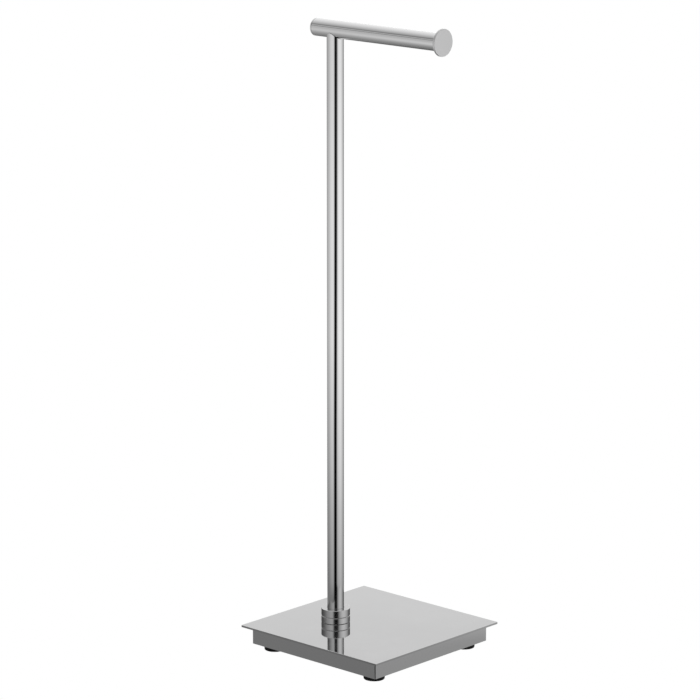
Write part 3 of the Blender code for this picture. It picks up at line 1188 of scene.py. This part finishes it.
@dataclass
class Arm:
    """The horizontal tube, its end pieces and the screw that holds it on the post.

    Attributes:
        room: Room of the tube.
        cap: Room of the rear cap.
        disc: Room of the end disc with its stud.
        screw: Room of the arm screw.
        post_axis: A point of the post's axis.
        wall: The tube's wall thickness.
        hole: Radius of the hole for the screw.
        disc_thick: Thickness of the disc.
        stud: Radius of the disc's stud.
        cap_thick: Thickness of the cap's flange.
        spigot_gap: Gap between the cap's spigot and the tube.
        shank: Radius of the screw's shank.
        head_radius: Radius of its head.
        head_height: Height of its head.
        socket_flats: Width of its socket, across its flats.
        socket_depth: Depth of its socket.
    """

    room: Space
    cap: Space
    disc: Space
    screw: Space
    post_axis: Vector
    wall: float = 0.0012
    hole: float = 0.0033
    disc_thick: float = 0.0025
    stud: float = 0.002
    cap_thick: float = 0.0020
    spigot_gap: float = 0.0003
    shank: float = 0.003
    head_radius: float = 0.005
    head_height: float = 0.0034
    socket_flats: float = 0.004
    socket_depth: float = 0.0018

    @property
    def axis(self) -> tuple[float, float, float]:
        """A point of the arm's axis, at the frame's middle plane."""
        return (0.0, self.room.middle.y, self.room.middle.z)

    def make_tube(self) -> None:
        """The tube, with a hole below for the screw."""
        steel = Metal("drawn_arm", POLISHED, roughness=0.055, smear=0.03, lay=Lay.ALONG_X, grain=0.0000005)
        below = Vector((self.post_axis.x, self.post_axis.y, self.room.low.z - 0.002))
        inside = Vector((self.post_axis.x, self.post_axis.y, self.room.middle.z))
        piece = tube("arm_crossbar", self.room, Turning.LENGTHWISE, self.wall, self.hole, below, inside,
                     steel.build())
        fit(piece, MOVING, ["arm_tube"])

    def turned(self, name: str, outline: Sequence[Corner], steps: int) -> bpy.types.Object:
        """Turn one end piece from its outline."""
        shape = lathe(rounded(outline, closed=False), False, steps, Turning.LENGTHWISE, self.axis)
        return finish_mesh(name, shape)

    def make_ends(self) -> None:
        """Rear cap with a soft edge, and the front disc on its stud."""
        steel = Metal("turned_ends", POLISHED, roughness=0.16, smear=0.04, grain=0.0000012,
                      centre=self.axis, turning=Turning.LENGTHWISE).build()
        radius = self.room.size.z / 2
        spigot = radius - self.wall - self.spigot_gap
        rear, inner = self.cap.low.x, self.cap.high.x
        seat = rear + self.cap_thick
        cap = self.turned("arm_closed_end", [
            Corner(0.0, rear), Corner(radius, rear, 0.0009), Corner(radius, seat, 0.00012),
            Corner(spigot, seat), Corner(spigot, inner, 0.0004), Corner(0.0, inner)], 128)
        fit(cap, MOVING, ["arm_rear_cap"], steel)
        stud_end, front = self.disc.low.x, self.disc.high.x
        back = front - self.disc_thick
        rim = self.disc.size.z / 2
        disc = self.turned("roll_stop_disc", [
            Corner(0.0, stud_end), Corner(self.stud, stud_end, 0.0004), Corner(self.stud, back),
            Corner(rim, back, 0.0004), Corner(rim, front, 0.0004), Corner(0.0, front)], 192)
        faced = Metal("faced_disc", DISC_FACE, roughness=0.42, smear=0.04, grain=0.0000012,
                      centre=self.axis, turning=Turning.LENGTHWISE).build()
        fit(disc, MOVING, ["end_disc"], faced)

    def make_screw(self) -> None:
        """Button-head screw with a hexagon socket, inside the arm over the post."""
        low, high = self.screw.low.z, self.screw.high.z
        head_low = high - self.head_height
        floor = high - self.socket_depth
        socket = hexagon(self.socket_flats)
        dome = rounded([Corner(self.shank, head_low), Corner(self.head_radius, head_low, 0.0004),
                        Corner(self.head_radius, high, 0.0016), Corner(0.0026, high)], closed=False)
        turns = thread(low + 0.0006, head_low - 0.003, self.shank, pitch=0.001, lead=0.001)
        rows = [Row(low, 0.0), Row(low, 0.0024), *turns, *dome, Row(high, socket), Row(floor, socket),
                Row(floor, 0.0)]
        shape = lathe(rows, False, 48, at=(self.post_axis.x, self.post_axis.y, 0.0))
        fit(finish_mesh("arm_clamp_screw", shape), MOVING, ["arm_screw"],
            fastener_zinc("arm_screw_zinc"))

    def make(self) -> None:
        """Make the whole arm."""
        self.make_tube()
        self.make_ends()
        self.make_screw()
        zinc = plug_zinc("arm_plug_zinc", self.axis, Turning.LENGTHWISE)
        dress_node("end_plug", zinc)
        dress_node("saddle_washer", zinc)


# --------------------------------------------------------------------------------------------------
# Studio


@dataclass
class Studio:
    """A white floor in a light tent with one dark slit, and the camera in front of that slit.

    Bearings are seen from above, in degrees: 0 points at the camera, 90 to its right and 180 behind the
    holder. Heights in the tent run from 0 at the horizon to 1 overhead, and the way out over the floor
    runs from 0 at the post to 1 far off. Each table gives brightness: FLOOR_ROUND at bearings on the
    open floor, FLOOR_BY_BASE at bearings close to the base, where it is painted shade of the base on the
    floor that the metal sees, FLOOR_AWAY along the way out, where its dim near end is painted shade too,
    SKYLINE at bearings by the horizon, LOW_TENT at bearings above that, and TENT_AHEAD and TENT_BEHIND
    at heights over the low tent, on the camera's side and behind the holder.

    Attributes:
        middle: The post's foot, which the tent stands round.
        yaw: The camera's heading, in degrees from +Y towards +X.
        pitch: How far it looks down, in degrees.
        camera_place: Where it stands.
        focal: Its focal length, in millimetres.
        shift: How far its frame is shifted sideways, as a share of its width.
        slit_bearing: Bearing of the slit's middle, by the base and far off.
        slit_core: Half the angle that is black, in degrees.
        slit_fade: Half the angle over which it fades, in degrees.
        slit_from: Distances between which the floor's slit sets in.
        slit_turns: Stretch of the way out over which its bearing changes.
        near_base: Distances between which the base stops shading the floor.
        half_way: Distance that is half of the way out.
        lean: How much brighter the floor is to the camera's right, near and far off.
        lean_over: Stretch of the way out over which that changes.
        skyline_top: Heights between which the low tent takes over from the skyline.
        low_top: Heights between which the high tent takes over from the low tent.
        low_dims: Heights between which the low tent dims.
        low_dimmed: Its brightness below and above them, as a share of its table.
        turns_back: How far ahead a direction points where the tent's two halves start and stop blending.
    """

    middle: Vector
    yaw: float = -42.71
    pitch: float = 13.22
    camera_place: tuple[float, float, float] = (2.4332, -2.6833, 1.1902)
    focal: float = 177.1
    shift: float = 0.0049
    slit_bearing: tuple[float, float] = (-2.0, 7.5)
    slit_core: float = 8.0
    slit_fade: float = 33.0
    slit_from: tuple[float, float] = (0.155, 0.185)
    slit_turns: tuple[float, float] = (0.62, 0.88)
    near_base: tuple[float, float] = (0.17, 0.26)
    half_way: float = 0.6
    lean: tuple[float, float] = (0.19, 0.03)
    lean_over: tuple[float, float] = (0.15, 0.72)
    skyline_top: tuple[float, float] = (0.22, 0.27)
    low_top: tuple[float, float] = (0.318, 0.345)
    low_dims: tuple[float, float] = (0.285, 0.325)
    low_dimmed: tuple[float, float] = (1.07, 0.95)
    turns_back: tuple[float, float] = (0.1, -0.7)

    FLOOR_ROUND = ((-180, 0.20), (-169, 0.24), (-146, 0.50), (-120, 0.68), (-96, 0.79), (-76, 0.97),
                   (-60, 1.12), (-30, 1.16), (0, 1.10), (25, 1.08), (39, 1.18), (53, 1.28), (69, 1.32),
                   (87, 1.18), (107, 0.94), (143, 0.38), (180, 0.20))
    # Painted shade: the glowing floor is dimmed close to the base, where the base's shade would fall.
    FLOOR_BY_BASE = ((-180, 0.27), (-60, 0.26), (12, 0.25), (24, 0.42), (90, 0.44), (140, 0.32), (180, 0.27))
    # Painted shade and light: the glowing floor is dim near the post and bright far off.
    FLOOR_AWAY = ((0.10, 0.36), (0.24, 0.40), (0.37, 0.51), (0.485, 0.62), (0.64, 0.86), (0.72, 1.0),
                  (0.82, 1.0), (0.88, 0.90), (1.0, 0.88))
    LOW_TENT = ((-180, 1.06), (-174, 1.06), (-165, 0.24), (-137, 0.13), (-108, 0.22), (-87, 0.38),
                (-69, 0.60), (-54, 0.70), (-38, 0.84), (-24, 0.78), (-15, 0.28), (-8, 0.0), (14, 0.0),
                (21, 0.20), (30, 0.62), (46, 1.05), (62, 1.30), (79, 1.22), (99, 0.88), (123, 0.32),
                (146, 0.14), (165, 0.20), (174, 1.06), (180, 1.06))
    SKYLINE = ((-180, 1.90), (-150, 1.60), (-120, 0.86), (120, 0.86), (150, 1.60), (180, 1.90))
    TENT_AHEAD = ((0.30, 0.80), (0.41, 0.80), (0.47, 0.30), (0.53, 0.28), (0.62, 0.50), (0.72, 0.56),
                  (1.0, 1.0))
    TENT_BEHIND = ((0.30, 1.10), (0.40, 1.62), (0.65, 1.42), (0.75, 1.36), (1.0, 1.20))
    WHITE = (1.0, 1.0, 1.0, 1.0)

    @property
    def towards(self) -> Vector:
        """Level direction from the holder to the camera."""
        yaw = math.radians(self.yaw)
        return Vector((-math.sin(yaw), -math.cos(yaw), 0.0))

    def bearing(self, tree: Tree, direction: Socket) -> tuple[Socket, Socket]:
        """Where a direction points, seen from above.

        Args:
            tree: The tree to add to.
            direction: The direction, or a place on the floor from the post.

        Returns:
            How far it reaches towards the camera, and to its right.
        """
        right = (-self.towards.y, self.towards.x, 0.0)
        return (tree.vector("DOT_PRODUCT", direction, tuple(self.towards), output=1),
                tree.vector("DOT_PRODUCT", direction, right, output=1))

    def light_tent(self) -> None:
        """The tent: bright overhead and behind, dimmer in front, with a dark slit for the camera.

        The camera itself sees plain white; only the holder sees the tent.
        """
        world = bpy.data.worlds.new("light_tent")
        bpy.context.scene.world = world
        tree = emptied(world)
        direction = tree.add("ShaderNodeTexCoord").outputs["Generated"]
        ahead, aside = self.bearing(tree, direction)
        up = tree.add("ShaderNodeSeparateXYZ", {0: direction}).outputs[2]
        bearing = tree.maths("ARCTAN2", aside, ahead)
        dimming = tree.remap(up, *self.low_dims, *self.low_dimmed)
        walls = tree.maths("MULTIPLY", tree.turn_ramp(bearing, self.LOW_TENT), dimming)
        skyline = tree.turn_ramp(bearing, self.SKYLINE)
        over_skyline = tree.remap(up, *self.skyline_top, 0.0, 1.0, smooth=True)
        low = tree.blend(over_skyline, skyline, walls)
        front = tree.ramp(up, self.TENT_AHEAD)
        back = tree.ramp(up, self.TENT_BEHIND)
        behind = tree.remap(ahead, *self.turns_back, 0.0, 1.0, smooth=True)
        high = tree.blend(behind, front, back)
        over_walls = tree.remap(up, *self.low_top, 0.0, 1.0, smooth=True)
        level = tree.blend(over_walls, low, high)
        seen = tree.add("ShaderNodeBackground", {"Color": self.WHITE, "Strength": 1.0}).outputs[0]
        lit = tree.add("ShaderNodeBackground", {"Strength": level}).outputs[0]
        direct = tree.add("ShaderNodeLightPath").outputs["Is Camera Ray"]
        shown = tree.add("ShaderNodeMixShader", {0: direct, 1: lit, 2: seen}).outputs[0]
        tree.add("ShaderNodeOutputWorld", {"Surface": shown})

    def white_floor(self) -> None:
        """The floor that is seen: white to the camera, clear from below, pale and matt to other light."""
        seen = bpy.data.materials.new("studio_floor")
        tree = emptied(seen)
        white = tree.add("ShaderNodeEmission", {"Color": self.WHITE, "Strength": 1.0}).outputs[0]
        matt = tree.add("ShaderNodeBsdfDiffuse", {"Color": (0.85, 0.85, 0.85, 1.0)}).outputs[0]
        direct = tree.add("ShaderNodeLightPath").outputs["Is Camera Ray"]
        shown = tree.add("ShaderNodeMixShader", {0: direct, 1: matt, 2: white}).outputs[0]
        clear = tree.add("ShaderNodeBsdfTransparent").outputs[0]
        below = tree.add("ShaderNodeNewGeometry").outputs["Backfacing"]
        surface = tree.add("ShaderNodeMixShader", {0: below, 1: shown, 2: clear}).outputs[0]
        tree.add("ShaderNodeOutputMaterial", {"Surface": surface})
        self.sheet("studio_floor", -0.0002, seen).visible_glossy = False

    def tent_floor(self) -> None:
        """The glowing floor that the metal sees: brighter far off and to the right, with painted shade that
        darkens it by the base.
        """
        glow = bpy.data.materials.new("tent_floor")
        tree = emptied(glow)
        place = tree.add("ShaderNodeTexCoord").outputs["Object"]
        away = tree.vector("SUBTRACT", place, (self.middle.x, self.middle.y, 0.0))
        distance = tree.vector("LENGTH", away, output=1)
        ahead, aside = self.bearing(tree, away)
        bearing = tree.maths("ARCTAN2", aside, ahead)
        around = tree.turn_ramp(bearing, self.FLOOR_ROUND)
        way_out = tree.maths("DIVIDE", distance, tree.maths("ADD", distance, self.half_way))
        # Painted shade and light: the glow rises from dim near the post to bright far off.
        rise = tree.ramp(way_out, self.FLOOR_AWAY)
        slope = tree.remap(way_out, *self.lean_over, *self.lean)
        lean = tree.maths("ADD", tree.maths("MULTIPLY", tree.maths("DIVIDE", aside, distance), slope), 1.0)
        far_level = tree.maths("MULTIPLY", tree.maths("MULTIPLY", rise, around), lean)
        # Painted shade: the base's shade on the floor, painted into the glow that the metal sees.
        painted_base_shade = tree.turn_ramp(bearing, self.FLOOR_BY_BASE)
        clear_of_base = tree.remap(distance, *self.near_base, 0.0, 1.0, smooth=True)
        open_level = tree.blend(clear_of_base, painted_base_shade, far_level)
        slit_at = tree.remap(way_out, *self.slit_turns, *map(math.radians, self.slit_bearing))
        off_slit = tree.maths("ABSOLUTE", tree.maths("SUBTRACT", bearing, slit_at))
        opened = tree.remap(off_slit, math.radians(self.slit_core), math.radians(self.slit_fade), 0.0, 1.0,
                            smooth=True)
        unslit = tree.remap(distance, *self.slit_from, 1.0, 0.0, smooth=True)
        level = tree.maths("MULTIPLY", open_level, tree.maths("MAXIMUM", opened, unslit))
        light = tree.add("ShaderNodeEmission", {"Strength": level}).outputs[0]
        tree.add("ShaderNodeOutputMaterial", {"Surface": light})
        sheet = self.sheet("tent_floor", -0.0005, glow)
        sheet.visible_camera = False
        sheet.visible_diffuse = False
        sheet.visible_shadow = False
        sheet.visible_transmission = False

    def sheet(self, name: str, height: float, material: bpy.types.Material) -> bpy.types.Object:
        """A large level sheet that isn't part of the holder.

        Args:
            name: Its name.
            height: Its level.
            material: Its finish.

        Returns:
            The sheet.
        """
        bm = bmesh.new()
        bmesh.ops.create_grid(bm, x_segments=1, y_segments=1, size=30.0)
        bmesh.ops.translate(bm, verts=bm.verts, vec=(0.0, 0.0, height))
        mesh = bpy.data.meshes.new(name)
        bm.to_mesh(mesh)
        bm.free()
        mesh.materials.append(material)
        sheet = bpy.data.objects.new(name, mesh)
        bpy.context.scene.collection.objects.link(sheet)
        return sheet

    def softbox(self, name: str, place: Sequence[float], size: float, power: float) -> None:
        """A large soft lamp aimed at the holder; the metal sees the tent and not the lamp.

        Args:
            name: Its name.
            place: Where it hangs.
            size: Its width.
            power: Its power in watts.
        """
        lamp = bpy.data.lights.new(name, "AREA")
        lamp.size = size
        lamp.energy = power
        box = bpy.data.objects.new(name, lamp)
        box.location = place
        aim = Vector((0.0, 0.0, 0.2)) - Vector(place)
        box.rotation_euler = aim.to_track_quat("-Z", "Y").to_euler()
        box.visible_glossy = False
        bpy.context.scene.collection.objects.link(box)

    def camera(self) -> None:
        """A long lens at the height of a product shot, level from side to side."""
        lens = bpy.data.cameras.new("camera")
        lens.lens = self.focal
        lens.sensor_width = 36.0
        lens.shift_x = self.shift
        lens.clip_end = 100.0
        camera = bpy.data.objects.new("camera", lens)
        pitch = math.radians(self.pitch)
        heading = -self.towards * math.cos(pitch) - Vector((0.0, 0.0, math.sin(pitch)))
        camera.location = self.camera_place
        camera.rotation_euler = heading.to_track_quat("-Z", "Y").to_euler()
        bpy.context.scene.collection.objects.link(camera)
        bpy.context.scene.camera = camera

    def make(self) -> None:
        """Set up the floor, the light and the camera."""
        self.light_tent()
        self.white_floor()
        self.tent_floor()
        self.softbox("overhead_softbox", place=(0.3, -0.4, 3.2), size=4.0, power=40.0)
        self.camera()
        bpy.context.scene.view_settings.view_transform = "Standard"


# --------------------------------------------------------------------------------------------------
# The holder


def main() -> None:
    """Build the holder from the floor up, then the studio."""
    logging.basicConfig(level=logging.INFO, format="%(message)s")
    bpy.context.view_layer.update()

    post = Space.of("post_tube")
    arm = Space.of("arm_tube")
    left, right = Space.of("foot_front_left"), Space.of("foot_front_right")
    back = Space.of("foot_back_left")
    arm_over_post = Vector((post.middle.x, post.middle.y, arm.middle.z))
    between_feet = Vector(((left.middle.x + right.middle.x) / 2, (left.middle.y + back.middle.y) / 2, 0.0))

    BaseBox(plate=Space.of("top_plate"), cover=Space.of("bottom_cover")).make()
    Feet(foot=left, screw=Space.of("foot_screw_front_left"), across=right.middle.x - left.middle.x,
         middle=between_feet).make()
    SwivelCollar(lower=Space.of("lower_collar"), upper=Space.of("upper_collar"), bolt=Space.of("base_bolt"),
                 post_radius=post.size.x / 2).make()
    Post(room=post, arm_axis=arm_over_post, arm_radius=arm.size.z / 2).make()
    Arm(room=arm, cap=Space.of("arm_rear_cap"), disc=Space.of("end_disc"), screw=Space.of("arm_screw"),
        post_axis=post.middle).make()
    Studio(middle=post.middle).make()


if __name__ == "__main__":
    main()
